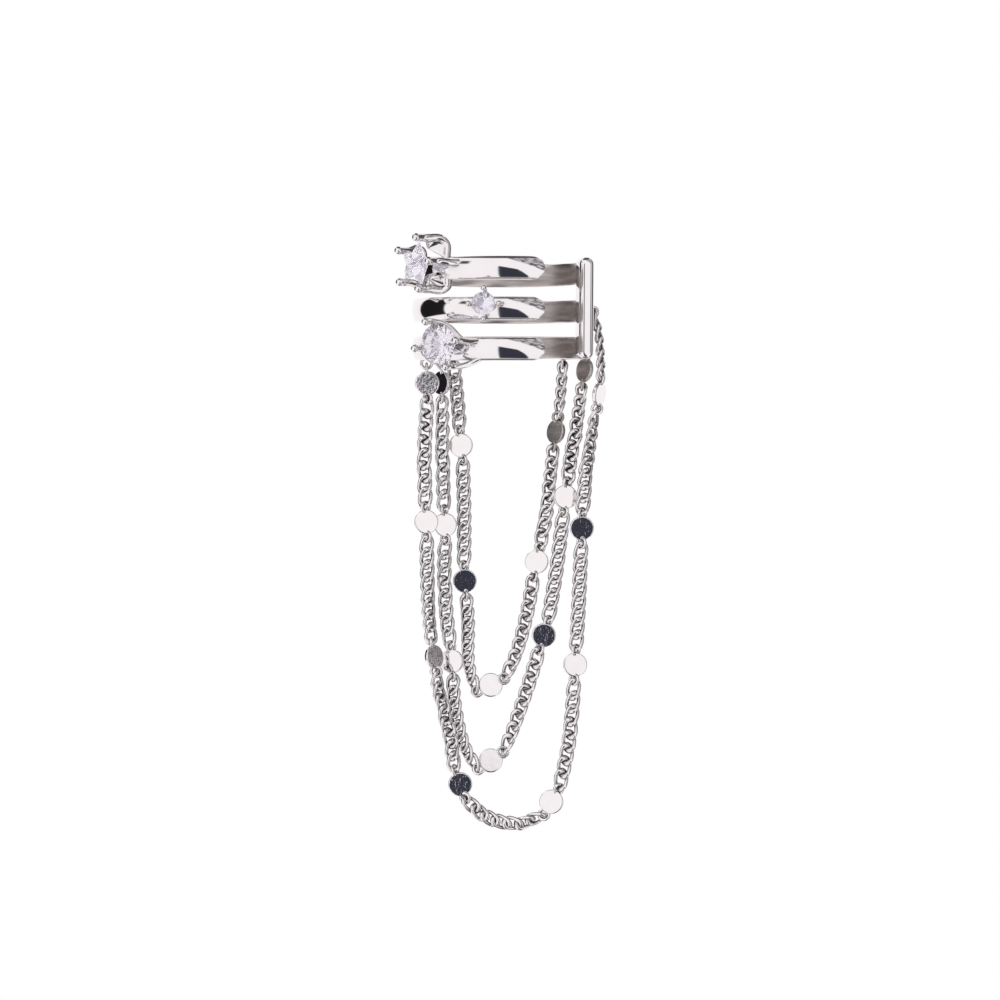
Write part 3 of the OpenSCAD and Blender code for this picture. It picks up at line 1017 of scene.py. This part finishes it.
def makeRoom():
    plan = room
    world = bpy.data.worlds.new("whiteRoom")
    bpy.context.scene.world = world
    world.use_nodes = True
    shade = Shading(world.node_tree)
    looking = shade.node("TexCoord", out="Generated")
    sides = shade.node("SeparateXYZ", None, {"Vector": looking})
    x, y, z = (Value(shade.tree, sides.socket.node.outputs[axis]) for axis in "XYZ")
    azimuth = x.calculate("ARCTAN2", y * -1) * math.degrees(1)
    height = z.calculate("ARCSINE") * math.degrees(1)
    colour = shade.node("RGB")
    colour.socket.default_value = (*plan["white"], 1)
    for left, right, low, high, soft, tone, amount in plan["cards"].values():
        mask = shade.between(azimuth, left, right, soft) * shade.between(height, low, high, soft)
        colour = shade.mixed(mask * amount, colour, tone)

    front = plan["front"]
    over = height - front["top"]
    for start, slope in front["slopes"]:
        over = over + (azimuth - start).calculate("MAXIMUM", 0.0) * slope
    wedge = 1 - shade.rising(over, 0, front["soft"])
    wedge = wedge * shade.rising(height, front["low"], front["lowSoft"])
    wedge = wedge * shade.between(azimuth, front["left"], front["right"], front["soft"])
    colour = shade.mixed(wedge, colour, front["colour"])

    upper = plan["upper"]
    over = height + (azimuth - upper["left"]) * upper["slope"] - upper["low"]
    patch = shade.rising(over, 0, upper["soft"])
    patch = patch * (1 - shade.rising(height, upper["top"], upper["topSoft"]))
    patch = patch * shade.between(azimuth, upper["left"], upper["right"], upper["soft"])
    cells = shade.node("TexVoronoi", None, {"Vector": looking, "Scale": upper["cells"]})
    colour = shade.mixed(patch * (cells * upper["depth"]), colour, upper["colour"])

    # the camera sees plain white behind the object
    light = shade.node("Background", None, {"Color": colour, "Strength": plan["strength"]})
    blank = shade.node("Background", None, {"Color": (1.0, 1.0, 1.0), "Strength": 1.0})
    seen = shade.node("LightPath", out="Is Camera Ray")
    shown = shade.node("MixShader", None, {0: seen, 1: light, 2: blank})
    shade.node("OutputWorld", None, {"Surface": shown})


floorPlan = {
    "drop": 0.075,
    "radius": 0.16,
    "sides": 96,
    "light": (0.9, 0.9, 0.9),
    "shade": (0.86, 0.86, 0.86),
    "grain": 60.0,
    "grainDetail": 2.0,
    "roughness": 0.8,
    "glow": 0.45,
}


def makeFloor():
    plan = floorPlan
    clearSelection()
    bpy.ops.mesh.primitive_circle_add(
        vertices=plan["sides"],
        radius=plan["radius"],
        fill_type="NGON",
        location=(0, 0, -plan["drop"]),
    )
    floor = bpy.context.object
    floor.name = "studio_floor"
    bpy.ops.object.transform_apply(location=True, rotation=True, scale=True)
    material, shade = newMaterial("paleFloor")
    place = shade.node("TexCoord", out="Object")
    grain = shade.node("TexNoise", None, {
        "Vector": place,
        "Scale": plan["grain"],
        "Detail": plan["grainDetail"],
    })
    surface = shade.node("BsdfPrincipled", None, {
        "Base Color": shade.mixed(grain, plan["light"], plan["shade"]),
        "Roughness": plan["roughness"],
        "Emission Color": (1.0, 1.0, 1.0),
        "Emission Strength": plan["glow"],
    })
    shade.node("OutputMaterial", None, {"Surface": surface})
    floor.data.materials.append(material)
    # the object doesn't mirror it
    floor.visible_glossy = False
    floor.visible_transmission = False


cameraPlan = {
    "sensor": 36,
    "lens": 157.5,
    "near": 0.01,
    "far": 20,
    "place": (-0.00024, -0.35, -0.01504),
    "pitch": 90,
}


def makeCamera():
    plan = cameraPlan
    data = bpy.data.cameras.new("photoCamera")
    data.sensor_width = plan["sensor"]
    data.lens = plan["lens"]
    data.clip_start = plan["near"]
    data.clip_end = plan["far"]
    camera = bpy.data.objects.new("photoCamera", data)
    bpy.context.scene.collection.objects.link(camera)
    camera.location = plan["place"]
    camera.rotation_euler = (turned(plan["pitch"]), 0, 0)
    bpy.context.scene.camera = camera


makeRoom()
makeFloor()
makeCamera()
bpy.context.scene.view_settings.view_transform = "Standard"
print("studio made")
